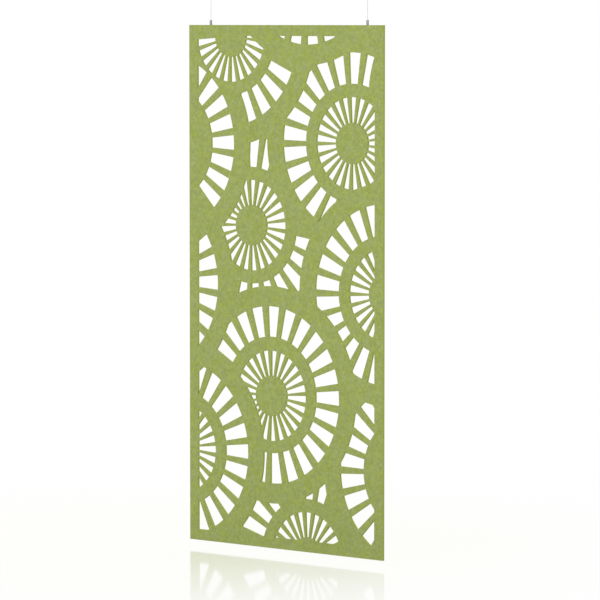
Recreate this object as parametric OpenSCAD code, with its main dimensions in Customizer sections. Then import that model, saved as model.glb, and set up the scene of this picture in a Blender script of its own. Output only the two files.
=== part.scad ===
// Hanging felt screen: one cut sheet of pressed felt on two thin steel wires.
// The origin is on the ceiling, midway between the two fixings. +Z is up and -Y is the front.

/* [Felt sheet] */
// Width of the sheet
panel_w = 1160; // [1000:10:1400]
// Height of the sheet
panel_h = 2400; // [2000:20:2800]
// Thickness of the sheet
panel_t = 12; // [12:1:18]
// Uncut border round the pattern
border_w = 50; // [48:1:80]

/* [Rosettes] */
// Slots in each ring
slot_count = 25; // [20:1:28]
// Turn of the first slot above the level
slot_turn = 1.2; // [0:0.1:3]
// Inner radius of a wheel, the outer ring
wheel_in_r = 268; // [250:1:290]
// Outer radius of a wheel
wheel_out_r = 408; // [390:1:420]
// Share of a wheel's ring that is cut open
wheel_open = 0.67; // [0.4:0.01:0.7]
// Felt kept clear of other rings beyond a wheel
wheel_margin = 92; // [60:1:110]
// Inner radius of an eye, the small ring
eye_in_r = 93; // [80:1:110]
// Outer radius of an eye
eye_out_r = 208; // [190:1:215]
// Share of an eye's ring that is cut open
eye_open = 0.63; // [0.4:0.01:0.65]
// Felt kept clear of other rings beyond an eye
eye_margin = 10; // [6:1:20]
// Least share of a slot that must show for it to be cut at all
least_shown = 0.03; // [0.02:0.01:0.1]

/* [Suspension] */
// From the sheet's left edge to the left wire
inset_left = 130; // [80:1:200]
// From the sheet's right edge to the right wire
inset_right = 96; // [80:1:200]
// From the ceiling down to the sheet's top edge
ceiling_drop = 150; // [140:1:400]
// Diameter of the wire
wire_d = 1.2; // [1:0.1:1.5]
// Diameter of the ball swaged on the wire's top end
ball_d = 6; // [5.5:0.1:6.5]
// How far the screen may swing to either side
swing_deg = 15; // [5:1:18]
// How far the screen may be raised along its wires
raise = 20; // [5:1:20]

/* [Ceiling fitting] */
// Diameter of the cap and of the base's flange
cap_d = 16; // [16:0.5:22]
// Thickness of the base's flange
base_flange_t = 3; // [2:0.5:4]
// Height of the spigot that the cap goes on
spigot_h = 6; // [5:0.5:8]
// Diameter of the spigot
spigot_d = 11; // [11:0.1:12]
// Diameter of the screw hole in the base
screw_hole_d = 5; // [4:0.1:5.5]
// Room above the ball for the screw head
head_room = 4; // [3:0.5:8]
// Depth of the cap's mouth below the ball's centre
mouth_h = 8; // [7:0.5:10]

/* [Wire gripper] */
// Outer diameter of the gripper
grip_d = 12; // [11.4:0.1:12]
// Height of the gripper's housing
housing_h = 17; // [17:0.5:24]
// How far the release tip presses in
press = 1.5; // [0.5:0.1:1.5]
// Height of the release tip above the housing when it is pressed in
tip_rest_h = 0.5; // [0.3:0.1:3]
// Wall of the release tube round the wire
tube_wall = 1; // [0.9:0.1:1.2]
// Diameter of a grip ball
grip_ball_d = 2.4; // [2.2:0.1:2.6]
// Half-angle of the cone that the grip balls wedge in
cone_deg = 10; // [8:0.5:12]
// Thickness of the housing's roof
roof_t = 2; // [1.5:0.1:2.5]
// Length of the release spring at rest
spring_h = 4.5; // [4.5:0.1:5]
// Diameter of the spring's wire
spring_wire_d = 0.5; // [0.4:0.05:0.5]
// Turns of the release spring
spring_turns = 4; // [3:0.5:4.5]

/* [End plug and insert] */
// Height of the plug's shoulder
shoulder_h = 4; // [3:0.5:6]
// Width across the shoulder's spanner flats
flats_w = 10; // [9.5:0.1:11]
// Height of the plug's spigot inside the housing
plug_spigot_h = 3.5; // [3:0.1:3.5]
// Diameter of the plug's stud
stud_d = 5; // [4.4:0.1:5.2]
// Length of the plug's stud
stud_len = 16; // [10:1:18]
// Length of the insert in the felt
insert_len = 20; // [18:1:22]
// Diameter over the insert's barbs
insert_d = 8; // [7.6:0.1:8.4]
// Height of a barb's step
barb_h = 0.5; // [0.3:0.1:0.7]
// Barbs on an insert
barb_count = 6; // [4:1:8]
// Thickness of the insert's flange
flange_t = 1.5; // [1:0.1:2]

/* [Hidden] */
// Gap of a part that slides or turns, to each side
run_gap = 0.1;
// Gap of a part that is screwed or pressed in, or of a spring's end, to each side
seat_gap = 0.05;
// Gap between a swinging or rolling ball and its seat
ball_gap = 0.05;
// Gap between turned parts that only pass each other, and setback of an edge
free_gap = 0.3;
// Gap round the wire in the swaged ball, and how far the wire ends below the ball's top
swage_gap = 0.02;
wire_sink = 0.2;
// Room round the wire where it passes through a part
wire_room = 0.4;
// Extra room round the wire's tail in the felt, and felt-side room past its end
tail_room = 0.6;
tail_end_room = 1;
// Width of the step that the plug's spigot leaves round the spring chamber
step_w = 0.9;
// Share of a grip ball's radius by which the cage reaches past the ball's centre
cage_hold = 0.4;
// How much steeper the cap's mouth opens than the screen swings
mouth_spare_deg = 5;
// Felt left between the wire's hole and the first slots
end_felt = 5;
// Small overlap that makes a cut go right through
past = 0.5;
// Chamfer on turned edges
edge = 0.8;

// Places: the fixings are symmetric about the origin and the sheet is not
fix_x = (panel_w - inset_left - inset_right) / 2;
panel_x = (inset_right - inset_left) / 2;
top_z = -ceiling_drop;
mid_z = top_z - panel_h / 2;
SIDES = [-1, 1];

// Ceiling fitting, measured down from the ceiling
spigot_end_z = -base_flange_t - spigot_h;
ball_z = spigot_end_z - head_room - ball_d / 2;
cap_end_z = ball_z - mouth_h;
cap_bore_r = spigot_d / 2 + run_gap;
// The ball rests in a cone of 45 degrees, whose neck leaves the wire room to swing
neck_r = ball_d / 3;
seat_top_r = cap_bore_r;
seat_tip_z = ball_z - (ball_d / 2 + ball_gap) * sqrt(2);
neck_z = seat_tip_z + neck_r;
mouth_r = neck_r + (neck_z - cap_end_z) * tan(swing_deg + mouth_spare_deg);
seat_top_z = seat_tip_z + seat_top_r;

// Gripper, measured up from the sheet's top edge
shoulder_z = top_z + flange_t;
housing_z = shoulder_z + shoulder_h;
spring_z = housing_z + plug_spigot_h;
collar_z = spring_z + spring_h;
collar_t = 1;
housing_top_z = housing_z + housing_h;
roof_z = housing_top_z - roof_t;
tip_z = housing_top_z + press + tip_rest_h;
wire_r = wire_d / 2;
tube_bore_r = wire_r + wire_room;
tube_r = tube_bore_r + tube_wall;
grip_ball_r = grip_ball_d / 2;
grip_ball_x = wire_r + ball_gap + grip_ball_r;
grip_ball_z = (collar_z + collar_t + roof_z) / 2;
cage_r = grip_ball_x + grip_ball_r * cage_hold;
cone_mid_r = grip_ball_x + (grip_ball_r + ball_gap) / cos(cone_deg);
cone_foot_r = cone_mid_r + (grip_ball_z - collar_z) * tan(cone_deg);
cone_top_r = cone_mid_r - (roof_z - grip_ball_z) * tan(cone_deg);
collar_r = cone_foot_r - free_gap;
plug_spigot_r = cone_foot_r + step_w;
spring_r = collar_r - spring_wire_d / 2 - run_gap;

// Insert and the holes in the felt, measured down from the sheet's top edge
insert_bore_r = stud_d / 2 + seat_gap;
flange_r = grip_d / 2 - free_gap;
tail_hole_r = tube_bore_r + tail_room;
tail_hole_z = top_z - border_w + end_felt;
wire_end_z = tail_hole_z + raise + tail_end_room;

// Each rosette: across and up from the sheet's middle, level of its wheel, level of its
// eye, how far each of the two is turned, how far its eye lies off its middle, and which
// slots of its wheel stay uncut. A ring of a higher level lies in front, and the felt round
// it hides the rings behind. An eye of level 0 is left out. The slots of the last rosette
// all lie beyond the border, and only the felt kept clear round it shows.
ROSETTES = [
    [133, 1520, 21, 22, -0.2, 0, [0, 0], []],
    [-333, 1147, 13, 20, -0.5, 0.1, [6, 0], [24]],
    [-813, 2, 18, 19, -0.1, 0, [0, 0], [3]],
    [-628, -773, 16, 17, 0, 0, [0, 0], []],
    [-713, 651, 14, 0, 0.1, 0, [0, 0], []],
    [-84, -493, 11, 12, 0, -2.3, [3, -4], []],
    [590, -5, 9, 10, -0.2, -0.5, [0, 0], []],
    [397, 670, 7, 8, 0, 0.1, [0, 0], []],
    [-202, 283, 5, 6, 0, -0.2, [0, 0], [0, 17]],
    [736, -801, 3, 4, -0.2, 0, [0, 0], []],
    [133, -1225, 1, 2, 0, 0.2, [0, 0], [4]],
    [994, 877, 8, 0, 0, 0, [0, 0], []]
];
// Rings: centre, inner and outer radius, open share, turn, radius kept clear, level, uncut
RINGS = [
    for (r = ROSETTES) each [
        [[r[0], r[1]], wheel_in_r, wheel_out_r, wheel_open, slot_turn + r[4],
            wheel_out_r + wheel_margin, r[2], r[7]],
        [[r[0], r[1]] + r[6], eye_in_r, eye_out_r, eye_open, slot_turn + r[5],
            eye_out_r + eye_margin, r[3], []]
    ]
];
window_w = panel_w - 2 * border_w;
window_h = panel_h - 2 * border_w;
// Points along and across a slot at which it is tested
tests = 12;

FELT = [0.61, 0.66, 0.38];
STEEL = [0.62, 0.63, 0.65];
BRIGHT = [0.78, 0.79, 0.81];
BRASS = [0.72, 0.6, 0.36];

// A point at radius r and angle a
function polar(r, a) = [r * cos(a), r * sin(a)];

// Points spread over a slot that is centred on angle a
function slot_points(ring, a) =
    let (half = 180 / slot_count * ring[3])
    [
        for (u = [0.5 : tests], v = [0.5 : tests])
            ring[0] + polar(
                ring[1] + (ring[2] - ring[1]) * u / tests,
                a + half * (2 * v / tests - 1)
            )
    ];

// Share of a slot that neither the border nor a ring in front hides
function shown_share(ring, front, a) =
    len([
        for (p = slot_points(ring, a))
            if (abs(p[0]) < window_w / 2 && abs(p[1]) < window_h / 2
                && len([for (f = front) if (norm(p - f[0]) < f[5]) 1]) == 0) 1
    ]) / (tests * tests);

// One slot before its ends are rounded to the ring: a wedge with radial sides
module slot_wedge(r_in, r_out, w) {
    far = r_out * 1.03 / cos(w);
    near = r_in * 0.95;
    polygon([polar(near, -w), polar(far, -w), polar(far, w), polar(near, w)]);
}

// The slots of one ring, as far as the rings in front leave them open
module ring_slots(ring, front) {
    pitch = 360 / slot_count;
    turns = [
        for (i = [0 : slot_count - 1])
            let (a = ring[4] + i * pitch)
            if (shown_share(ring, front, a) > least_shown && len(search(i, ring[7])) == 0) a
    ];
    if (len(turns) > 0)
        difference() {
            translate(ring[0])
                intersection() {
                    difference() {
                        circle(ring[2], $fn = 180);
                        circle(ring[1], $fn = 180);
                    }
                    for (a = turns) rotate(a) slot_wedge(ring[1], ring[2], pitch * ring[3] / 2);
                }
            for (f = front) translate(f[0]) circle(f[5], $fn = 180);
        }
}

// The whole pattern, cut off at the border
module rosette_pattern() {
    intersection() {
        square([window_w, window_h], center = true);
        for (ring = RINGS)
            ring_slots(ring, [
                for (f = RINGS)
                    if (f[6] > ring[6] && norm(f[0] - ring[0]) < f[5] + ring[2]) f
            ]);
    }
}

// The sheet: cut through from the front, and drilled from its top edge for each insert
module felt_panel() {
    color(FELT)
        difference() {
            translate([panel_x, 0, mid_z])
                rotate([90, 0, 0])
                    linear_extrude(height = panel_t, center = true)
                        difference() {
                            square([panel_w, panel_h], center = true);
                            rosette_pattern();
                        }
            for (s = SIDES)
                translate([s * fix_x, 0, 0]) {
                    translate([0, 0, top_z - insert_len])
                        cylinder(h = insert_len + past, r = insert_d / 2 + seat_gap, $fn = 48);
                    translate([0, 0, tail_hole_z])
                        cylinder(h = border_w, r = tail_hole_r, $fn = 32);
                }
        }
}

// Barbed sleeve pressed into the top edge, with a thin flange on the felt
module edge_insert(s) {
    root_r = insert_d / 2 - barb_h;
    step = insert_len / (barb_count + 1);
    barbs = [
        for (i = [0 : barb_count - 1])
            let (z = -insert_len + (i + 0.5) * step)
            each [[root_r, z], [insert_d / 2, z + step * 0.75], [root_r, z + step * 0.75]]
    ];
    color(BRASS)
        translate([s * fix_x, 0, top_z])
            difference() {
                rotate_extrude($fn = 64)
                    polygon(concat(
                        [[0, -insert_len], [root_r, -insert_len]],
                        barbs,
                        [[root_r, 0], [flange_r, 0], [flange_r, flange_t - free_gap],
                            [flange_r - free_gap, flange_t], [0, flange_t]]
                    ));
                translate([0, 0, -insert_len - past])
                    cylinder(h = insert_len + flange_t + 2 * past, r = insert_bore_r, $fn = 48);
            }
}

// Plug that closes the gripper from below: stud, shoulder with spanner flats, spigot
module end_plug(s) {
    color(STEEL)
        translate([s * fix_x, 0, shoulder_z])
            difference() {
                union() {
                    intersection() {
                        cylinder(h = shoulder_h, r = grip_d / 2, $fn = 64);
                        translate([0, 0, shoulder_h / 2])
                            cube([grip_d, flats_w, shoulder_h], center = true);
                    }
                    cylinder(h = shoulder_h + plug_spigot_h, r = plug_spigot_r, $fn = 64);
                    translate([0, 0, -stud_len])
                        cylinder(h = stud_len, r = stud_d / 2, $fn = 48);
                }
                translate([0, 0, -stud_len - past])
                    cylinder(
                        h = stud_len + shoulder_h + plug_spigot_h + 2 * past,
                        r = tube_bore_r, $fn = 32
                    );
            }
}

// Turned housing: threaded foot, spring chamber, wedging cone and a hole for the tip
module gripper_housing(s) {
    color(STEEL)
        translate([s * fix_x, 0, 0])
            difference() {
                translate([0, 0, housing_z])
                    union() {
                        cylinder(h = edge / 2, r1 = grip_d / 2 - edge / 2, r2 = grip_d / 2,
                            $fn = 64);
                        translate([0, 0, edge / 2])
                            cylinder(h = housing_h - edge * 1.5, r = grip_d / 2, $fn = 64);
                        translate([0, 0, housing_h - edge])
                            cylinder(h = edge, r1 = grip_d / 2, r2 = grip_d / 2 - edge,
                                $fn = 64);
                    }
                translate([0, 0, housing_z - past])
                    cylinder(h = plug_spigot_h + past, r = plug_spigot_r + seat_gap, $fn = 64);
                translate([0, 0, housing_z])
                    cylinder(h = collar_z - housing_z, r = cone_foot_r, $fn = 64);
                translate([0, 0, collar_z])
                    cylinder(h = roof_z - collar_z, r1 = cone_foot_r, r2 = cone_top_r, $fn = 64);
                translate([0, 0, roof_z - past])
                    cylinder(h = roof_t + 2 * past, r = tube_r + run_gap, $fn = 48);
            }
}

// Release tube: tip, cage with three ball windows, collar on the spring, short guide
module release_tube(s) {
    color(BRIGHT)
        translate([s * fix_x, 0, 0])
            difference() {
                union() {
                    translate([0, 0, collar_z - spring_h / 3])
                        cylinder(h = tip_z - collar_z + spring_h / 3, r = tube_r, $fn = 48);
                    translate([0, 0, collar_z]) cylinder(h = collar_t, r = collar_r, $fn = 48);
                    translate([0, 0, collar_z])
                        cylinder(h = roof_z - free_gap - collar_z, r = cage_r, $fn = 48);
                }
                translate([0, 0, collar_z - spring_h])
                    cylinder(h = tip_z - collar_z + spring_h + past, r = tube_bore_r, $fn = 32);
                for (a = [0, 120, 240])
                    rotate(a)
                        translate([wire_r, 0, grip_ball_z])
                            rotate([0, 90, 0])
                                cylinder(h = cage_r, r = grip_ball_r + ball_gap, $fn = 32);
            }
}

// Three balls between the wire and the cone
module grip_balls(s) {
    color(BRIGHT)
        translate([s * fix_x, 0, grip_ball_z])
            for (a = [0, 120, 240])
                rotate(a) translate([grip_ball_x, 0, 0]) sphere(r = grip_ball_r, $fn = 24);
}

// A tube along the points of a path, whose rings lie in given planes
function ring_at(p, u, v, r, sides) =
    [for (k = [0 : sides - 1]) p + r * (cos(360 * k / sides) * u + sin(360 * k / sides) * v)];

function tube_faces(rings, sides) = concat(
    [[for (k = [0 : sides - 1]) k]],
    [
        for (i = [0 : rings - 2], k = [0 : sides - 1])
            let (a = i * sides + k, b = i * sides + (k + 1) % sides)
            each [[a, a + sides, b + sides], [a, b + sides, b]]
    ],
    [[for (k = [sides - 1 : -1 : 0]) (rings - 1) * sides + k]]
);

// Compression spring: a helix of round wire between the plug and the collar
module release_spring(s) {
    sides = 6;
    per_turn = 12;
    steps = ceil(spring_turns * per_turn);
    rise = spring_h - spring_wire_d - 2 * seat_gap;
    turned = [for (i = [0 : steps]) 360 * spring_turns * i / steps];
    path = [
        for (a = turned)
            [spring_r * cos(a), spring_r * sin(a),
                spring_wire_d / 2 + seat_gap + rise * a / (360 * spring_turns)]
    ];
    gaps = [
        for (i = [0 : steps - per_turn / 2], j = [i + per_turn / 2 : steps])
            norm(path[i] - path[j]) - spring_wire_d
    ];
    echo(least_gap_between_spring_turns = min(gaps));
    points = [
        for (i = [0 : steps])
            each ring_at(path[i], [cos(turned[i]), sin(turned[i]), 0], [0, 0, 1],
                spring_wire_d / 2, sides)
    ];
    color(BRIGHT)
        translate([s * fix_x, 0, spring_z])
            polyhedron(points, tube_faces(steps + 1, sides), convexity = 6);
}

// Wire from the swaged ball down through the gripper to its tail in the felt
module wire(s) {
    sides = 8;
    start = ball_z + ball_d / 2 - wire_sink;
    steps = 36;
    points = [
        for (i = [0 : steps])
            each ring_at([s * fix_x, 0, start + (wire_end_z - start) * i / steps],
                [1, 0, 0], [0, 1, 0], wire_r, sides)
    ];
    color(STEEL) polyhedron(points, tube_faces(steps + 1, sides), convexity = 2);
}

// Ball swaged on the wire's top end
module wire_ball(s) {
    color(BRIGHT)
        translate([s * fix_x, 0, ball_z])
            difference() {
                sphere(r = ball_d / 2, $fn = 48);
                cylinder(h = 2 * ball_d, r = wire_r + swage_gap, center = true, $fn = 32);
            }
}

// Cap on the base: a cone seat for the ball, a neck, and a mouth that lets the wire swing
module ceiling_cap(s) {
    cap_h = -base_flange_t - cap_end_z;
    color(STEEL)
        translate([s * fix_x, 0, 0])
            difference() {
                translate([0, 0, cap_end_z]) {
                    cylinder(h = edge, r1 = cap_d / 2 - edge, r2 = cap_d / 2, $fn = 64);
                    translate([0, 0, edge]) cylinder(h = cap_h - edge, r = cap_d / 2, $fn = 64);
                }
                translate([0, 0, seat_top_z])
                    cylinder(h = -seat_top_z, r = cap_bore_r, $fn = 64);
                translate([0, 0, neck_z])
                    cylinder(h = seat_top_z - neck_z, r1 = neck_r, r2 = seat_top_r, $fn = 64);
                translate([0, 0, cap_end_z])
                    cylinder(h = neck_z - cap_end_z, r1 = mouth_r, r2 = neck_r, $fn = 64);
            }
}

// Base screwed to the ceiling through its own middle
module ceiling_base(s) {
    sink = screw_hole_d / 2;
    color(STEEL)
        translate([s * fix_x, 0, 0])
            difference() {
                union() {
                    translate([0, 0, -base_flange_t])
                        cylinder(h = base_flange_t, r = cap_d / 2, $fn = 64);
                    translate([0, 0, spigot_end_z])
                        cylinder(h = spigot_h + base_flange_t, r = spigot_d / 2, $fn = 64);
                }
                translate([0, 0, spigot_end_z - past])
                    cylinder(h = spigot_h + base_flange_t + 2 * past, r = screw_hole_d / 2,
                        $fn = 48);
                translate([0, 0, spigot_end_z])
                    cylinder(h = sink, r1 = screw_hole_d / 2 + sink, r2 = screw_hole_d / 2,
                        $fn = 48);
            }
}

felt_panel();
edge_insert(-1);  // edge_insert_left
edge_insert(1);  // edge_insert_right
end_plug(-1);  // end_plug_left
end_plug(1);  // end_plug_right
gripper_housing(-1);  // gripper_housing_left
gripper_housing(1);  // gripper_housing_right
release_tube(-1);  // release_tube_left
release_tube(1);  // release_tube_right
grip_balls(-1);  // grip_balls_left
grip_balls(1);  // grip_balls_right
release_spring(-1);  // release_spring_left
release_spring(1);  // release_spring_right
wire(-1);  // wire_left
wire(1);  // wire_right
wire_ball(-1);  // wire_ball_left
wire_ball(1);  // wire_ball_right
ceiling_cap(-1);  // ceiling_cap_left
ceiling_cap(1);  // ceiling_cap_right
ceiling_base(-1);  // ceiling_base_left
ceiling_base(1);  // ceiling_base_right
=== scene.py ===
"""Looks of the hanging felt screen: a cut felt sheet, its turned fittings and its two wires.

Lengths are in metres. +Z is up, -Y is the front, and the origin lies on the ceiling between the
fixings.
"""

from math import pi, radians

import bpy
import numpy as np
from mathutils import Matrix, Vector
from mathutils.geometry import delaunay_2d_cdt


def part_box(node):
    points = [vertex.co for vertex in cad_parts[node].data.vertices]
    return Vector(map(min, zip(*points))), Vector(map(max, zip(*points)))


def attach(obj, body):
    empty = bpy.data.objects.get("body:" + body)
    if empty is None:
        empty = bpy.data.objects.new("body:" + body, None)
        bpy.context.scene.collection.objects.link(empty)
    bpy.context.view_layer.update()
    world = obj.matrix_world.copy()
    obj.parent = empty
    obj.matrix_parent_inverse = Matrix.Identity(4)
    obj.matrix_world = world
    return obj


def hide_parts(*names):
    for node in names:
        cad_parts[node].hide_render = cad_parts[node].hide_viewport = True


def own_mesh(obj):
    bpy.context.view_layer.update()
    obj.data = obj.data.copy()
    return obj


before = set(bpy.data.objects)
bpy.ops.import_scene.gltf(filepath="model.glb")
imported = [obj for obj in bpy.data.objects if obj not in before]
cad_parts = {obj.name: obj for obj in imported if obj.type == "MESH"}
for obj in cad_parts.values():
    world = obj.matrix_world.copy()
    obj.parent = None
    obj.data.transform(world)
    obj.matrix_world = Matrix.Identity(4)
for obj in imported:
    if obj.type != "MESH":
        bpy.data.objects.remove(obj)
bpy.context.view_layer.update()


def box(node):
    """A node's lowest and highest corners."""
    return [np.array(corner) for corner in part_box(node)]


MM = 0.001

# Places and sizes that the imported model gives. Both sides have the same fittings.
felt_low, felt_high = box("felt_panel")
housing_low, housing_high = box("gripper_housing_right")
plug_low, plug_high = box("end_plug_right")
insert_low, insert_high = box("edge_insert_right")
_, tube_high = box("release_tube_right")
wire_low, wire_high = box("wire_right")
ball_low, ball_high = box("wire_ball_right")
cap_low, cap_high = box("ceiling_cap_right")
base_low, base_high = box("ceiling_base_right")
middle = (felt_low + felt_high)[[0, 2]] / 2
fix_x = (ball_low[0] + ball_high[0]) / 2
SIDES = {"left": -fix_x, "right": fix_x}
grip_r = (housing_high[0] - housing_low[0]) / 2
tip_z = tube_high[2]
cap_r = (cap_high[0] - cap_low[0]) / 2
ball_r = (ball_high[0] - ball_low[0]) / 2
ball_z = (ball_low[2] + ball_high[2]) / 2
flats_y = plug_high[1]

# Sizes inside the fittings, which their boxes don't give
WIRE_BORE_R = 1.0 * MM
SWAGED_R = 0.62 * MM
STUD_R = 2.5 * MM
PLUG_SPIGOT_R = 4.72 * MM
SEAT_R = 4.77 * MM
TIP_HOLE_R = 2.1 * MM
ROOF_T = 2.0 * MM
CONE_H = 7.0 * MM
CONE_TOP_R = 2.59 * MM
CONE_FOOT_R = 3.82 * MM
CAP_BORE_R = 5.6 * MM
NECK_R = 2.0 * MM
NECK_H = 5.687 * MM
MOUTH_R = 4.07 * MM
BASE_FLANGE_T = 3.0 * MM
BASE_SPIGOT_R = 5.5 * MM
SCREW_R = 2.5 * MM
SPRING_WIRE_R = 0.25 * MM
SPRING_TURNS = 4

# The cut pattern's rosettes, across and up from the sheet's middle, and the radii of its circles.
# The last two are the middles of the two eyes that lie off their wheels' middles.
ROSETTES = MM * np.array([
    (133, 1520), (-333, 1147), (-813, 2), (-628, -773), (-713, 651), (-84, -493), (590, -5),
    (397, 670), (-202, 283), (736, -801), (133, -1225), (994, 877), (-327, 1147), (-81, -497)])
CIRCLES = MM * np.array([93, 208, 218, 268, 408, 500])
BORDER = 50 * MM

# Felt: the rounding of its edges, the holes for an insert and for the wire's tail, and how far the
# patch of the top edge that holds them reaches to each side
LIP = 0.8 * MM
INSERT_HOLE_R = 4.05 * MM
TAIL_HOLE_R = 1.6 * MM
TAIL_HOLE_Z = felt_high[2] - 45 * MM
PATCH = 5.5 * MM

# Wires: six strands laid round a straight one. The cord runs from a little inside the release
# tube's tip up to its ball.
STRANDS = 7
STRAND_R = 0.2 * MM
LAY = 8 * MM
CORD_START = 1 * MM

# Fineness of the meshes: steps along a line or round a circle
EASE_STEPS = 4
LIP_STEPS = 4
CURVE_STEP = 5 * MM
ROPE_STEP = 0.4 * MM
QUARTER_STEPS = 24
BALL_STEPS = 48
HOLE_SIDES = 48
STRAND_SIDES = 8
SPRING_SIDES = 12
SPRING_STEPS = 48
SHARP = radians(35)
# Places nearer than this are the same
SAME = 0.01 * MM
# Longest step inward at a sharp corner, for a step of one from its sides
MOST_MITRE = 2.5

# Camera: its lens, the distances between which it sees, its turn and its dip, and where it stands
# from AIM, along, across and above its own level view
PHOTO_SIDE = 600
FOCAL_PIXELS = 3899
SENSOR_MM = 36
NEAREST, FURTHEST = 0.1, 200
YAW = radians(40.26)
PITCH = radians(4.112)
AIM = np.array([-0.012, -0.006, -1.35])
AWAY = 17.75
ACROSS = 0.0677
ABOVE = 1.2241

# Colours
FELT = (0.335, 0.398, 0.115, 1)
FELT_PALE = (0.400, 0.463, 0.156, 1)
FELT_DARK = (0.270, 0.327, 0.080, 1)
# The cut is yellower than the face, and paler too: painted light for the light that the slot walls
# lack
CUT_PALE = (0.515, 0.580, 0.108, 1)
CUT_DARK = (0.362, 0.422, 0.067, 1)
SHEEN = (0.8, 0.9, 0.6, 1)
SATIN = (0.34, 0.345, 0.35, 1)
BRIGHT = (0.60, 0.61, 0.62, 1)
BRASS = (0.42, 0.37, 0.24, 1)
ZINC = (0.52, 0.53, 0.54, 1)
# Painted shade in the grooves between a strand's wires, and the darker tone of its worn patches
GROOVE_SHADE_AND_WEAR = (0.20, 0.20, 0.21, 1)
WHITE = (1, 1, 1, 1)

# Textures: how many of each a metre holds, in three directions where it has a grain
CURLS = 160.0
FIBRES = (350, 900, 2600)
SPECKS = 1400.0
LUMPS = 120.0
CLOUDS = 70.0
TINTS = 22.0
CUT_LAYERS = (700, 2600, 700)
FIBRE_ENDS = 2400.0
LATHE_RINGS = 26000
RING_BREAKS = 300
METAL_PATCHES = 220.0
ROPE_PATCHES = 700.0
# The same on a piece's own map: round a turn, and for the wires of a strand also along it
RING_BREAKS_A_TURN = 4
STRAND_TWIST = (6, 900, 1)
# How the three layers of fibres are turned, how far curls bend them, and how much clouds and
# tints change the colour
FIBRE_TURNS = [radians(turn) for turn in (15, 75, 135)]
CURL_REACH = 6 * MM
CLOUD_DEPTH = 0.14
TINT_DEPTH = 0.24
# The ranges between which a noise, or a sum of noises, changes one colour or finish for another
NOISE_RANGE = (0.3, 0.7)
FIBRE_RANGE = (0.48, 0.78)
SPECK_RANGE = (0.35, 0.7)
FIBRE_END_RANGE = (0.5, 1.0)
METAL_RANGE = (0.7, 1.3)
# Metal: its dull rings' share of the colour, and the range of its roughness
DULL = 0.86
SMOOTHER, ROUGHER = 0.8, 1.25
ROPE_ROUGHNESS = (0.32, 0.5)

# Room. A floor value that changes has a near and a far distance, and its value at each.
FLOOR_GAP = 30 * MM
FLOOR_R = 60.0
# Painted shade on the sheet's foot: the floor gives back less light near the sheet's plane, more
# further off
BOUNCE_SHADE = (0.2, 0.9, 0.6, 0.9)
# The share of its white that needs no lamp, by the distance from the sheet's middle
OWN_WHITE = (1.0, 5.0, 0.94, 1.0)
# The share that it mirrors, by the distance from the sheet's lower left corner
MIRRORED = (0.1, 2.4, 0.37, 0.0)
# Where the floor mirrors, its own white lacks so much blue for the share that it mirrors, and the
# mirror's tint brings blue back: white stays about white, and green felt is mirrored green
LACKING_BLUE = 0.36
MIRROR_TINT = (1, 1, 1.15, 1)
AMBIENT = 0.63
# Lamps: the place and power of each
LAMPS = {"key": ((1.2, -9.2, 2.8), 365), "back": ((-1.2, 9.2, 0), 320)}
LAMP_AIM = (0, 0, -1.2)
LAMP_SIDE = 5.0


def place_camera():
    """The camera stands off AIM along its own level view and looks a little down."""
    data = bpy.data.cameras.new("camera")
    data.sensor_width = SENSOR_MM
    data.lens = FOCAL_PIXELS / PHOTO_SIDE * SENSOR_MM
    data.clip_start, data.clip_end = NEAREST, FURTHEST
    camera = bpy.data.objects.new("camera", data)
    ahead = np.array([-np.sin(YAW), np.cos(YAW), 0])
    across = np.array([np.cos(YAW), np.sin(YAW), 0])
    camera.location = AIM - AWAY * ahead + ACROSS * across + [0, 0, ABOVE]
    camera.rotation_euler = (pi / 2 - PITCH, 0, YAW)
    bpy.context.collection.objects.link(camera)
    bpy.context.scene.camera = camera


# Nodes

def put(tree, kind, *values, setup=None, **named):
    """Adds a node. Values go to its inputs in order or by name, with _ for a space.

    A value is a number, a colour, or another node's output, which is then linked.
    """
    node = tree.nodes.new("ShaderNode" + kind)
    for key, value in (setup or {}).items():
        setattr(node, key, value)
    for key, value in [*enumerate(values), *named.items()]:
        fill(tree, node.inputs[key if isinstance(key, int) else key.replace("_", " ")], value)
    return node


def fill(tree, socket, value):
    """Links another node's output to an input, or sets the input to a number or colour."""
    if isinstance(value, bpy.types.NodeSocket):
        tree.links.new(value, socket)
    else:
        socket.default_value = value


def new_tree(name):
    """A material and its empty tree."""
    material = bpy.data.materials.new(name)
    material.use_nodes = True
    material.node_tree.nodes.clear()
    return material, material.node_tree


def maths(tree, operation, *values):
    """One step of arithmetic."""
    return put(tree, "Math", *values, setup={"operation": operation}).outputs[0]


def spread(tree, value, low, high, to_low=0.0, to_high=1.0):
    """A value carried from one range to another and kept inside it."""
    return put(tree, "MapRange", value, low, high, to_low, to_high).outputs[0]


def mixed(tree, factor, a, b, blend="MIX"):
    """Two colours, mixed or multiplied by a factor."""
    node = put(tree, "Mix", factor, setup={"data_type": "RGBA", "blend_type": blend})
    first_colour, second_colour = node.inputs[6], node.inputs[7]
    fill(tree, first_colour, a)
    fill(tree, second_colour, b)
    return node.outputs[2]


def drawn_out(tree, place, turn, scale):
    """A place turned about Y and then scaled along its axes, for a pattern with a grain."""
    turned_place = put(tree, "Mapping", place, Rotation=(0, turn, 0)).outputs[0]
    return put(tree, "Mapping", turned_place, Scale=scale).outputs[0]


def noise(tree, place, scale=1.0, detail=2.0, roughness=0.5):
    """Noise of zero to one."""
    made = put(tree, "TexNoise", place, Scale=scale, Detail=detail, Roughness=roughness)
    return made.outputs["Fac"]


def surface(tree, colour, height, roughness, depth, strength, **constants):
    """A Principled surface with a bump of this height, joined to the material's output."""
    bump = put(tree, "Bump", Strength=strength, Distance=depth, Height=height).outputs[0]
    shader = put(tree, "BsdfPrincipled", Base_Color=colour, Roughness=roughness, Normal=bump,
                 **constants)
    put(tree, "OutputMaterial", shader.outputs[0])


# Materials

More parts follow.
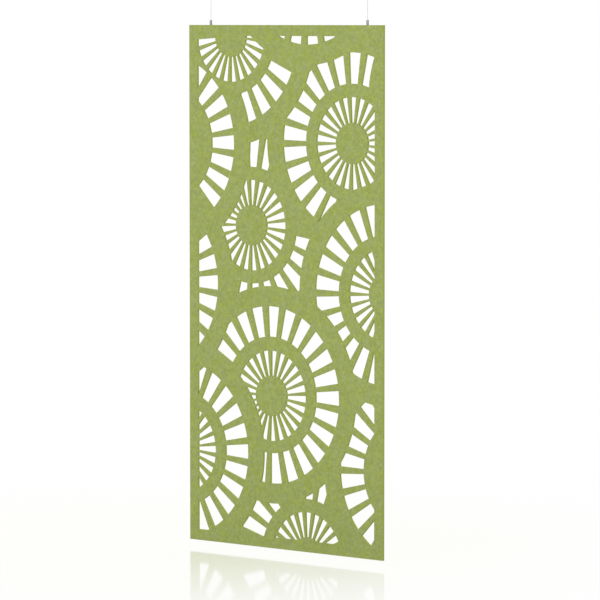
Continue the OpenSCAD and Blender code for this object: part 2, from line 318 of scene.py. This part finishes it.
def felt_face():
    """Pressed felt: curled fibres laid three ways, pale and dark ones, and a cloudy unevenness."""
    material, tree = new_tree("felt face")
    place = put(tree, "TexCoord").outputs["Object"]
    curl = put(tree, "TexNoise", place, Scale=CURLS, Detail=1.0).outputs["Color"]
    bent = put(tree, "VectorMath", curl, (CURL_REACH, CURL_REACH, CURL_REACH), place,
               setup={"operation": "MULTIPLY_ADD"}).outputs[0]
    ways = [noise(tree, drawn_out(tree, bent, turn, FIBRES)) for turn in FIBRE_TURNS]
    fibres = maths(tree, "MAXIMUM", maths(tree, "MAXIMUM", ways[0], ways[1]), ways[2])
    specks = noise(tree, place, SPECKS, detail=1.0)
    cloud = spread(tree, noise(tree, place, CLOUDS, detail=3.0, roughness=0.6), *NOISE_RANGE,
                   1 - CLOUD_DEPTH, 1 + CLOUD_DEPTH)
    blue = spread(tree, noise(tree, place, TINTS, detail=3.0), *NOISE_RANGE,
                  1 - TINT_DEPTH, 1 + TINT_DEPTH)
    colour = mixed(tree, spread(tree, fibres, *FIBRE_RANGE), FELT_DARK, FELT_PALE)
    colour = mixed(tree, spread(tree, specks, *SPECK_RANGE), colour, FELT)
    blue = maths(tree, "MULTIPLY", cloud, blue)
    shade = put(tree, "CombineColor", cloud, cloud, blue).outputs[0]
    colour = mixed(tree, 1.0, colour, shade, "MULTIPLY")
    height = maths(tree, "MULTIPLY_ADD", fibres, 0.35, noise(tree, place, LUMPS, detail=3.0))
    surface(tree, colour, height, roughness=0.95, depth=0.6 * MM, strength=0.5,
            Sheen_Weight=0.12, Sheen_Roughness=0.5, Sheen_Tint=SHEEN, Specular_IOR_Level=0.25)
    return material


def felt_cut():
    """Felt where the blade went through: thin layers of fibre ends, yellower than the face."""
    material, tree = new_tree("felt cut")
    place = put(tree, "TexCoord").outputs["Object"]
    layers = noise(tree, drawn_out(tree, place, 0, CUT_LAYERS), detail=3.0, roughness=0.6)
    ends = maths(tree, "MULTIPLY_ADD", noise(tree, place, FIBRE_ENDS, detail=1.0), 0.5, layers)
    # Yellower than the face, and paler as painted light for the light that the slot walls lack
    colour = mixed(tree, spread(tree, ends, *FIBRE_END_RANGE), CUT_DARK, CUT_PALE)
    surface(tree, colour, ends, roughness=1.0, depth=0.8 * MM, strength=0.7,
            Sheen_Weight=0.1, Sheen_Roughness=0.6, Sheen_Tint=SHEEN, Specular_IOR_Level=0.2)
    return material


def turned_metal(name, colour, rough, mapped):
    """Metal with the fine rings that a lathe leaves, handled smoother in patches.

    The rings run round the piece: across its own map where it has one, or else by height.
    """
    material, tree = new_tree(name)
    coordinates = put(tree, "TexCoord")
    if mapped:
        grain = (RING_BREAKS_A_TURN, LATHE_RINGS, 1)
        rings = drawn_out(tree, coordinates.outputs["UV"], 0, grain)
    else:
        grain = (RING_BREAKS, RING_BREAKS, LATHE_RINGS)
        rings = drawn_out(tree, coordinates.outputs["Object"], 0, grain)
    rings = noise(tree, rings, roughness=0.6)
    worn = noise(tree, coordinates.outputs["Object"], METAL_PATCHES, detail=3.0)
    dull = (*(DULL * part for part in colour[:3]), 1)
    metal = mixed(tree, spread(tree, rings, *NOISE_RANGE), dull, colour)
    roughness = spread(tree, maths(tree, "ADD", rings, worn), *METAL_RANGE,
                       rough * SMOOTHER, rough * ROUGHER)
    surface(tree, metal, rings, roughness=roughness, depth=0.03 * MM, strength=0.25,
            Metallic=1.0)
    return material


def rope_steel():
    """Galvanised strands: thin wires twisted round each strand, painted shade in the grooves
    between them.
    """
    material, tree = new_tree("rope steel")
    coordinates = put(tree, "TexCoord")
    slanted = drawn_out(tree, coordinates.outputs["UV"], 0, STRAND_TWIST)
    wires = put(tree, "TexWave", slanted, Scale=0.5, setup={"bands_direction": "DIAGONAL"})
    worn = noise(tree, coordinates.outputs["Object"], ROPE_PATCHES, detail=3.0)
    # Painted shade: the grooves between the wires darken towards the same dark grey as the worn
    # patches
    colour = mixed(tree, maths(tree, "MULTIPLY", wires.outputs["Fac"], worn), GROOVE_SHADE_AND_WEAR, ZINC)
    roughness = spread(tree, worn, *NOISE_RANGE, *ROPE_ROUGHNESS)
    surface(tree, colour, wires.outputs["Fac"], roughness=roughness, depth=0.04 * MM,
            strength=0.6, Metallic=1.0)
    return material


# Meshes

def new_piece(name, points, faces, material, body, node):
    """A smooth piece, sharp where its faces turn by more than SHARP, that rides on a body."""
    mesh = bpy.data.meshes.new(name)
    mesh.from_pydata(points.tolist(), [], faces)
    mesh.polygons.foreach_set("use_smooth", np.ones(len(mesh.polygons), bool))
    mesh.set_sharp_from_angle(angle=SHARP)
    mesh.materials.append(material)
    piece = bpy.data.objects.new(name, mesh)
    bpy.context.collection.objects.link(piece)
    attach(piece, body)
    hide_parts(node)
    return piece


def grid_faces(rows, columns, closed):
    """Faces of a grid whose columns close on themselves, and whose rows may.

    Place (i, j) is joined to (i, j + 1), (i + 1, j + 1) and (i + 1, j). Also gives the turn and
    the row of each face's corners, not counted round, for a map.
    """
    i, j = np.indices((rows if closed else rows - 1, columns))
    row = np.stack([i, i, i + 1, i + 1], axis=-1).reshape(-1, 4)
    column = np.stack([j, j + 1, j + 1, j], axis=-1).reshape(-1, 4)
    return row % rows * columns + column % columns, column / columns, row


def give_map(piece, turn, along):
    """Gives a piece its own map, from the turn and the length along at each face's corners."""
    layer = piece.data.uv_layers.new(name="along")
    layer.data.foreach_set("uv", np.stack([turn, along], axis=-1).astype(np.float32).ravel())


def heading(way):
    """The angle of a way (across, up), from across towards up."""
    return np.arctan2(way[..., 1], way[..., 0])


def unit_circle(angle):
    """The point (cos angle, sin angle)."""
    return np.stack([np.cos(angle), np.sin(angle)], axis=-1)


def eased(corners):
    """A closed line of (radius, height, easing in millimetres) with its corners rounded.

    A parabola, drawn towards each corner, joins the two places that lie its easing before and
    after it.
    """
    corners = np.array(corners, float)
    corner, ease = corners[:, :2], corners[:, 2:] * MM
    before, after = np.roll(corner, 1, axis=0) - corner, np.roll(corner, -1, axis=0) - corner
    start = corner + ease * before / np.linalg.norm(before, axis=1, keepdims=True)
    end = corner + ease * after / np.linalg.norm(after, axis=1, keepdims=True)
    t = np.linspace(0, 1, EASE_STEPS + 1)[:, None, None]
    curve = (1 - t) ** 2 * start + 2 * t * (1 - t) * corner + t**2 * end
    return curve.transpose(1, 0, 2).reshape(-1, 2)


def turned(name, x, line, material, body, node, flats=None):
    """A closed line of (radius, height) carried round the upright axis at x.

    At angle a its point is (x + radius cos a, radius sin a, height). Flats hold y between plus
    and minus their half width, and their corners are four of the angles.
    """
    corner = np.arcsin(flats / line[:, 0].max()) if flats else pi / 4
    turns = np.array([-corner, corner, pi - corner, pi + corner, 2 * pi - corner])
    a = np.concatenate([np.linspace(*turns[k:k + 2], QUARTER_STEPS, endpoint=False)
                        for k in range(4)])
    r, z = line[:, :1], line[:, 1:]
    y = np.clip(r * np.sin(a), -flats, flats) if flats else r * np.sin(a)
    points = np.stack([x + r * np.cos(a), y, z + 0 * a], axis=-1).reshape(-1, 3)
    faces, turn, row = grid_faces(len(line), len(a), closed=True)
    piece = new_piece(name, points, faces.tolist(), material, body, node)
    lengths = np.linalg.norm(np.roll(line, -1, axis=0) - line, axis=1)
    give_map(piece, turn, np.concatenate([[0], np.cumsum(lengths)])[row])
    return piece


def helix(x, radius, angle, z, slope, thick, sides):
    """Rings of points along round wires that climb round the axis at x.

    A wire's middle is (x + radius cos angle, radius sin angle, z), and slope is its climb for one
    unit of angle. At angle b of a ring the point lies thick (out cos b + side sin b) from it,
    where out points away from the axis and side is square to out and to the wire's own way.
    """
    cos, sin, none = np.cos(angle), np.sin(angle), 0 * angle
    out = np.stack([cos, sin, none], axis=-1)
    on = np.stack([-radius * sin, radius * cos, slope + none], axis=-1)
    side = np.cross(on / np.linalg.norm(on, axis=-1, keepdims=True), out)
    b = 2 * pi * np.arange(sides)[:, None] / sides
    ring = np.cos(b) * out[..., None, :] + np.sin(b) * side[..., None, :]
    centre = np.stack([x + radius * cos, radius * sin, z + none], axis=-1)
    return centre[..., None, :] + thick * ring


def wire_faces(rings, sides, wires):
    """Faces of wires of so many rings, each closed by a flat end, with their turns and rows."""
    wall, turn, row = grid_faces(rings, sides, closed=False)
    starts = rings * sides * np.arange(wires)[:, None]
    end = np.arange(sides)
    faces = (wall + starts[..., None]).reshape(-1, 4).tolist()
    faces += (starts + end[::-1]).tolist()
    faces += (starts + (rings - 1) * sides + end).tolist()
    ends = np.zeros(2 * wires * sides)
    turn, row = (np.concatenate([np.tile(part.ravel(), wires), ends]) for part in (turn, row))
    return faces, turn, row


def rope(name, x, low, high, material, node):
    """Strands from low to high: one straight, the others turning round it once in LAY.

    The middle of a strand that turns is at height z twice STRAND_R from the axis, at the angle
    2 pi z / LAY plus k equal parts of a turn.
    """
    z = np.linspace(low, high, int((high - low) / ROPE_STEP) + 1)
    strand = np.arange(STRANDS)[:, None]
    angle = 2 * pi * z / LAY + 2 * pi / (STRANDS - 1) * strand
    radius = 2 * STRAND_R * (strand > 0)
    points = helix(x, radius, angle, z, LAY / (2 * pi), STRAND_R, STRAND_SIDES)
    faces, turn, row = wire_faces(len(z), STRAND_SIDES, STRANDS)
    piece = new_piece(name, points.reshape(-1, 3), faces, material, "wires", node)
    give_map(piece, turn, row * ROPE_STEP)
    return piece


# Wires

def swaged_ball(side, x, material):
    """The ball on a wire's top end, with the bore that the wire fills.

    At angle t above the level its line is (ball_r cos t, ball_z + ball_r sin t).
    """
    pole = np.arccos(SWAGED_R / ball_r)
    t = np.linspace(-pole, pole, BALL_STEPS + 1)
    line = np.stack([ball_r * np.cos(t), ball_z + ball_r * np.sin(t)], axis=1)
    return turned(f"swaged_ball_{side}", x, line, material, "wires",
                  f"wire_ball_{side}")


def hang_wire(side, x, material, ball):
    """A wire in two ropes: the cord up to its ball, and the tail inside the gripper and felt."""
    held, top = tip_z - CORD_START, wire_high[2]
    wire = rope(f"hanging_wire_{side}", x, held, top, material, f"wire_{side}")
    rope(f"wire_tail_{side}", x, wire_low[2], held, material, f"wire_{side}")


# Felt sheet

def sheet_rim():
    """The edges of the felt's front face that only one of its triangles has, as start and end.

    Seen from the front, felt lies on their left. Also gives the edge that follows each.
    """
    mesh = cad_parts["felt_panel"].data
    places = np.empty(3 * len(mesh.vertices))
    corners = np.empty(len(mesh.loops), int)
    mesh.vertices.foreach_get("co", places)
    mesh.loops.foreach_get("vertex_index", corners)
    keys, same = np.unique(np.round(places.reshape(-1, 3) / SAME), axis=0, return_inverse=True)
    places, triangles = keys * SAME, same.ravel()[corners].reshape(-1, 3)
    front = triangles[(places[triangles, 1] < felt_low[1] + SAME).all(axis=1)]
    edges = front[:, [0, 1, 1, 2, 2, 0]].reshape(-1, 2)
    _, first, uses = np.unique(np.sort(edges, axis=1), axis=0, return_index=True,
                               return_counts=True)
    edges = edges[first[uses == 1]]
    edge_from = np.empty(len(places), int)
    edge_from[edges[:, 0]] = np.arange(len(edges))
    flat = places[:, [0, 2]]
    return flat[edges[:, 0]], flat[edges[:, 1]], edge_from[edges[:, 1]]


def pattern_circles(start, end):
    """For each edge the centre and radius of the pattern's circle nearest to both its ends.

    Also tells whether the edge is an arc of it. An edge on the border is straight.
    """
    centre = np.repeat(middle + ROSETTES, len(CIRCLES), axis=0)
    radius = np.tile(CIRCLES, len(ROSETTES))
    miss = np.maximum(*(abs(np.linalg.norm(place[:, None] - centre, axis=2) - radius)
                        for place in (start, end)))
    nearest = miss.argmin(axis=1)
    inner = (felt_high - felt_low)[[0, 2]] / 2 - BORDER
    on_border = np.logical_and(*(abs(abs(place - middle) - inner) < SAME
                                 for place in (start, end))).any(axis=1)
    is_arc = (miss.min(axis=1) < 3 * SAME) & ~on_border
    return centre[nearest], radius[nearest], is_arc


def sheet_outline():
    """Points round the sheet and each of its cuts, and for each the one that follows it.

    An arc is divided along its circle: a share s of its way on, the point lies at the start's
    angle plus s times the sweep. The top edge is divided at the sides of the inserts' patches.
    """
    start, end, follows = sheet_rim()
    centre, radius, is_arc = pattern_circles(start, end)
    angle = heading(start - centre)
    sweep = (heading(end - centre) - angle + pi) % (2 * pi) - pi
    parts = np.where(is_arc, np.ceil(abs(sweep) * radius / CURVE_STEP), 1).astype(int)
    on_top = (start[:, 1] > felt_high[2] - SAME) & (end[:, 1] > felt_high[2] - SAME)
    top = np.flatnonzero(on_top)[0]
    stops = np.array([fix_x + PATCH, fix_x - PATCH, PATCH - fix_x, -PATCH - fix_x])
    parts[top] = len(stops) + 1
    first = np.cumsum(parts) - parts
    edge = np.repeat(np.arange(len(parts)), parts)
    share = (np.arange(len(edge)) - first[edge]) / parts[edge]
    stop_shares = (start[top, 0] - stops) / (start[top, 0] - end[top, 0])
    share[first[top] + 1:first[top] + parts[top]] = stop_shares
    arcs = centre[edge] + radius[edge, None] * unit_circle(angle[edge] + share * sweep[edge])
    straights = start[edge] + share[:, None] * (end - start)[edge]
    points = np.where(is_arc[edge, None], arcs, straights)
    follow = np.arange(1, len(edge) + 1)
    follow[first + parts - 1] = first[follows]
    return points, follow


def ways_inward(points, follow):
    """For each point the way that moves both its edges into the felt by one.

    It is the sum of their two normals over one plus their product, no longer than MOST_MITRE.
    """
    along = points[follow] - points
    along /= np.linalg.norm(along, axis=1, keepdims=True)
    here = np.stack([-along[:, 1], along[:, 0]], axis=1)
    before = np.empty_like(here)
    before[follow] = here
    way = (here + before) / (1 + (here * before).sum(axis=1, keepdims=True))
    length = np.linalg.norm(way, axis=1, keepdims=True)
    return way * np.minimum(1, MOST_MITRE / length)


def filled(points, follow):
    """Triangles of the area that lies to the left of every outline.

    A triangle counts when its middle, seen from one of its corners, lies between that corner's
    way on and its way back, turning to the left.
    """
    edges = np.stack([np.arange(len(follow)), follow], axis=1)
    inside_only, merged_within = 1, 1e-9
    made = delaunay_2d_cdt(points.tolist(), edges.tolist(), [], inside_only, merged_within)
    new_triangles, came_from = made[2], made[3]
    triangles = np.array([numbers[0] for numbers in came_from])[np.array(new_triangles)]
    before = np.empty_like(follow)
    before[follow] = np.arange(len(follow))
    corner = triangles[:, 0]
    ends = (points[triangles].mean(axis=1), points[follow[corner]], points[before[corner]])
    to_middle, on, back = (heading(end - points[corner]) for end in ends)
    return triangles[(to_middle - on) % (2 * pi) < (back - on) % (2 * pi)]


def drilled(x, places, numbers, count):
    """A patch of the top edge with the hole for an insert and, below it, for the wire's tail.

    The patch's four corners have these places across and deep, and these numbers. It is filled
    round a circle, from which a wider and then a narrower bore go down to a bottom that closes
    at its middle. Gives the new points, whose numbers start at count, and the faces.
    """
    a = 2 * pi * np.arange(HOLE_SIDES) / HOLE_SIDES
    ring = np.array([x, 0]) + INSERT_HOLE_R * unit_circle(a)
    follow = np.concatenate([(np.arange(4) + 1) % 4, 4 + np.roll(np.arange(HOLE_SIDES), 1)])
    patch = filled(np.concatenate([places, ring]), follow)
    numbers = np.concatenate([numbers, count + np.arange(HOLE_SIDES)])
    r = np.array([INSERT_HOLE_R, INSERT_HOLE_R, TAIL_HOLE_R, TAIL_HOLE_R])[:, None]
    z = np.array([felt_high[2], insert_low[2], insert_low[2], TAIL_HOLE_Z])[:, None]
    bore = np.stack([x + r * np.cos(a), r * np.sin(a), z + 0 * a], axis=-1).reshape(-1, 3)
    points = np.concatenate([bore, [[x, 0, TAIL_HOLE_Z]]])
    walls = grid_faces(len(r), HOLE_SIDES, closed=False)[0] + count
    last = count + len(bore) - HOLE_SIDES + np.arange(HOLE_SIDES)
    bottom = np.stack([last, np.roll(last, -1), np.full(HOLE_SIDES, count + len(bore))], axis=1)
    return points, [*numbers[patch].tolist(), *walls.tolist(), *bottom.tolist()]


def wall_profile():
    """How far a cut's wall draws back from its outline, and its depth, from front to back.

    At angle p of a rounded edge it lies LIP (1 - sin p) back and LIP (1 - cos p) from the face.
    """
    p = np.linspace(0, pi / 2, LIP_STEPS + 1)
    inset, depth = LIP * (1 - np.sin(p)), felt_low[1] + LIP * (1 - np.cos(p))
    return np.concatenate([inset, inset[::-1]]), np.concatenate([depth, -depth[::-1]])


def wall_steps(follow, rings):
    """The wall's faces, by step and outline point.

    Each joins a point, the same one in the next ring, the one that follows it there, and the one
    that follows it here.
    """
    count = len(follow)
    here = np.arange(count)
    strip = np.stack([here, here + count, follow + count, follow], axis=1)
    return strip + (count * np.arange(rings - 1))[:, None, None]


def cut_steps(rings):
    """Which steps of the wall have the cut felt's finish: all but the outer two at each face."""
    return abs(np.arange(rings - 1) - LIP_STEPS) < LIP_STEPS - 1


def crease(mesh, count, rings):
    """Makes each edge sharp whose ends both lie on the front face's ring or on the back face's."""
    ends = np.empty(2 * len(mesh.edges), int)
    mesh.edges.foreach_get("vertices", ends)
    ring = ends.reshape(-1, 2) // count
    on_face = (ring == 0).all(axis=1) | (ring == rings - 1).all(axis=1)
    sharp = np.empty(len(mesh.edges), bool)
    mesh.edges.foreach_get("use_edge_sharp", sharp)
    mesh.edges.foreach_set("use_edge_sharp", sharp | on_face)


def felt_sheet(face, cut):
    """The sheet: two flat faces joined by a wall round every outline, drilled for the inserts.

    Ring k of the wall is the outline moved inward by the profile's inset k, at its depth k.
    """
    outline, follow = sheet_outline()
    inset, depth = wall_profile()
    rings, count = len(depth), len(outline)
    flat = outline + inset[:, None, None] * ways_inward(outline, follow)
    deep = np.broadcast_to(depth[:, None], flat.shape[:2])
    points = [np.stack([flat[..., 0], deep, flat[..., 1]], axis=-1).reshape(-1, 3)]
    front = filled(flat[0], follow)
    back = front[:, ::-1] + (rings - 1) * count
    walls = wall_steps(follow, rings)
    on_top = outline[:, 1] > felt_high[2] - SAME
    patches = [np.flatnonzero(on_top & (abs(outline[:, 0] - x - PATCH) < SAME))[0]
               for x in SIDES.values()]
    kept = np.ones(walls.shape[:2], bool)
    kept[LIP_STEPS, patches] = False
    faces = [*front.tolist(), *back.tolist(), *walls[kept].tolist()]
    for x, patch in zip(SIDES.values(), walls[LIP_STEPS, patches]):
        numbers = np.roll(patch, 1)
        hole_points, hole_faces = drilled(x, points[0][numbers, :2], numbers, sum(map(len, points)))
        points.append(hole_points)
        faces += hole_faces
    piece = new_piece("felt_sheet", np.concatenate(points), faces, face, "panel",
                      "felt_panel")
    piece.data.materials.append(cut)
    slots = np.ones(len(faces), np.int32)
    on_faces = len(front) + len(back)
    slots[:on_faces] = 0
    slots[on_faces:on_faces + kept.sum()] = np.repeat(cut_steps(rings), kept.sum(axis=1))
    piece.data.polygons.foreach_set("material_index", slots)
    crease(piece.data, count, rings)


# Fittings

def housing_line():
    """The gripper's housing: up its outside, down the tip's hole and the cone, and its seat."""
    foot, top, seat = housing_low[2], housing_high[2], plug_high[2]
    roof = top - ROOF_T
    return eased([
        (grip_r, foot, 0.4), (grip_r, top, 0.7), (TIP_HOLE_R, top, 0.15), (TIP_HOLE_R, roof, 0.05),
        (CONE_TOP_R, roof, 0.05), (CONE_FOOT_R, roof - CONE_H, 0.05), (CONE_FOOT_R, seat, 0.05),
        (SEAT_R, seat, 0.05), (SEAT_R, foot, 0.1)])


def plug_line():
    """The end plug: out from the stud's foot, up to the head and the spigot, and down its bore."""
    foot, neck, shoulder, top = plug_low[2], insert_high[2], housing_low[2], plug_high[2]
    return eased([
        (WIRE_BORE_R, foot, 0.15), (STUD_R, foot, 0.3), (STUD_R, neck, 0.05), (grip_r, neck, 0.3),
        (grip_r, shoulder, 0.3), (PLUG_SPIGOT_R, shoulder, 0.05), (PLUG_SPIGOT_R, top, 0.2),
        (WIRE_BORE_R, top, 0.15)])


def cap_line():
    """The ceiling cap: up its outside, down its bore and the ball's cone, and out of its mouth."""
    foot, top = cap_low[2], cap_high[2]
    neck = foot + NECK_H
    seat = neck + CAP_BORE_R - NECK_R
    return eased([
        (cap_r, foot, 0.8), (cap_r, top, 0.15), (CAP_BORE_R, top, 0.15), (CAP_BORE_R, seat, 0.1),
        (NECK_R, neck, 0.2), (MOUTH_R, foot, 0.2)])


def base_line():
    """The ceiling base: out from its countersunk hole, up its spigot, and over its flange."""
    foot, top = base_low[2], base_high[2]
    flange = top - BASE_FLANGE_T
    return eased([
        (SCREW_R, foot + SCREW_R, 0.05), (2 * SCREW_R, foot, 0.1), (BASE_SPIGOT_R, foot, 0.15),
        (BASE_SPIGOT_R, flange, 0.1), (cap_r, flange, 0.3), (cap_r, top, 0.3),
        (SCREW_R, top, 0.1)])


def coil(side, x, material):
    """A release spring: one round wire that climbs evenly from the plug to the tube's collar.
    """
    low, high = box(f"release_spring_{side}")
    angle = np.linspace(0, 2 * pi * SPRING_TURNS, SPRING_STEPS * SPRING_TURNS + 1)
    z = np.linspace(low[2] + SPRING_WIRE_R, high[2] - SPRING_WIRE_R, len(angle))
    radius = (high[0] - low[0]) / 2 - SPRING_WIRE_R
    slope = (z[-1] - z[0]) / angle[-1]
    points = helix(x, radius, angle, z, slope, SPRING_WIRE_R, SPRING_SIDES)
    faces, turn, row = wire_faces(len(angle), SPRING_SIDES, 1)
    piece = new_piece(f"release_coil_{side}", points.reshape(-1, 3), faces, material, "panel",
                      f"release_spring_{side}")
    give_map(piece, turn, row * radius * angle[1])
    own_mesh(piece)


def finish_node(node, material):
    """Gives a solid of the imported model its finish."""
    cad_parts[node].material_slots[0].material = material


# Room

def seen(tree):
    """One for a ray from the camera, from a gloss or through glass, and zero for other light."""
    path = put(tree, "LightPath").outputs
    glossy = maths(tree, "MAXIMUM", path["Is Camera Ray"], path["Is Glossy Ray"])
    return maths(tree, "MAXIMUM", glossy, path["Is Transmission Ray"])


def white_room():
    """The world is white where it is seen, straight or in a gloss, and a plain light elsewhere."""
    world = bpy.data.worlds.new("white room")
    world.use_nodes = True
    world.node_tree.nodes.clear()
    tree = world.node_tree
    strength = spread(tree, seen(tree), 0, 1, AMBIENT, 1)
    light = put(tree, "Background", WHITE, strength)
    put(tree, "OutputWorld", light.outputs[0])
    bpy.context.scene.world = world


def distance(tree, place, x, z):
    """How far a place lies from (x, 0, z)."""
    return put(tree, "VectorMath", place, (float(x), 0, float(z)),
               setup={"operation": "DISTANCE"}).outputs["Value"]


def floor_white(z):
    """White that keeps a soft shadow, mirrors the sheet faintly, and is clear from below."""
    material, tree = new_tree("white floor")
    place = put(tree, "TexCoord").outputs["Object"]
    out = distance(tree, place, middle[0], z)
    corner = distance(tree, place, felt_low[0], z)
    ahead = maths(tree, "ABSOLUTE", put(tree, "SeparateXYZ", place).outputs["Y"])
    # Painted shade: rays other than camera and gloss rays find the floor darker near the sheet's
    # plane
    pale = maths(tree, "MAXIMUM", spread(tree, ahead, *BOUNCE_SHADE), seen(tree))
    matt = put(tree, "BsdfDiffuse", pale).outputs[0]
    fade = spread(tree, corner, *MIRRORED)
    blue = maths(tree, "MULTIPLY_ADD", fade, -LACKING_BLUE, 1.0)
    warm = put(tree, "CombineColor", 1.0, 1.0, blue)
    white = put(tree, "Emission", warm.outputs[0], 1.0).outputs[0]
    own = maths(tree, "MULTIPLY", spread(tree, out, *OWN_WHITE), seen(tree))
    lit = put(tree, "MixShader", own, matt, white).outputs[0]
    gloss = put(tree, "BsdfGlossy", MIRROR_TINT, Roughness=0.08).outputs[0]
    polished = put(tree, "MixShader", fade, lit, gloss).outputs[0]
    clear = put(tree, "BsdfTransparent").outputs[0]
    under = put(tree, "NewGeometry").outputs["Backfacing"]
    both = put(tree, "MixShader", under, polished, clear).outputs[0]
    put(tree, "OutputMaterial", both)
    return material


def pale_floor():
    """A square floor FLOOR_GAP below the sheet."""
    z = felt_low[2] - FLOOR_GAP
    corners = FLOOR_R * np.array([(-1, -1, 0), (1, -1, 0), (1, 1, 0), (-1, 1, 0)]) + [0, 0, z]
    mesh = bpy.data.meshes.new("floor")
    mesh.from_pydata(corners.tolist(), [], [(0, 1, 2, 3)])
    floor = bpy.data.objects.new("floor", mesh)
    bpy.context.collection.objects.link(floor)
    mesh.materials.append(floor_white(z))


def lamp(name, place, power):
    """A square soft lamp at a place, turned towards LAMP_AIM."""
    data = bpy.data.lights.new(name, "AREA")
    data.shape, data.size, data.energy = "SQUARE", LAMP_SIDE, power
    light = bpy.data.objects.new(name, data)
    light.location = place
    light.rotation_euler = (Vector(LAMP_AIM) - Vector(place)).to_track_quat("-Z", "Y").to_euler()
    light.visible_camera = False
    bpy.context.collection.objects.link(light)


place_camera()
satin = turned_metal("satin steel", SATIN, rough=0.5, mapped=True)
bright_turned = turned_metal("bright steel turned", BRIGHT, rough=0.16, mapped=True)
bright = turned_metal("bright steel", BRIGHT, rough=0.18, mapped=False)
brass = turned_metal("insert brass", BRASS, rough=0.4, mapped=False)
strands = rope_steel()
for side, x in SIDES.items():
    hang_wire(side, x, strands, swaged_ball(side, x, bright_turned))
felt_sheet(felt_face(), felt_cut())
for side, x in SIDES.items():
    turned(f"gripper_body_{side}", x, housing_line(), satin, "panel",
           f"gripper_housing_{side}")
    turned(f"gripper_plug_{side}", x, plug_line(), satin, "panel",
           f"end_plug_{side}", flats=flats_y)
    turned(f"ceiling_cup_{side}", x, cap_line(), satin, "ceiling",
           f"ceiling_cap_{side}")
    turned(f"ceiling_disc_{side}", x, base_line(), satin, "ceiling",
           f"ceiling_base_{side}")
    coil(side, x, bright_turned)
    finish_node(f"release_tube_{side}", bright)
    finish_node(f"grip_balls_{side}", bright)
    finish_node(f"edge_insert_{side}", brass)
white_room()
pale_floor()
for name, (place, power) in LAMPS.items():
    lamp(name, place, power)
bpy.context.scene.view_settings.view_transform = "Standard"
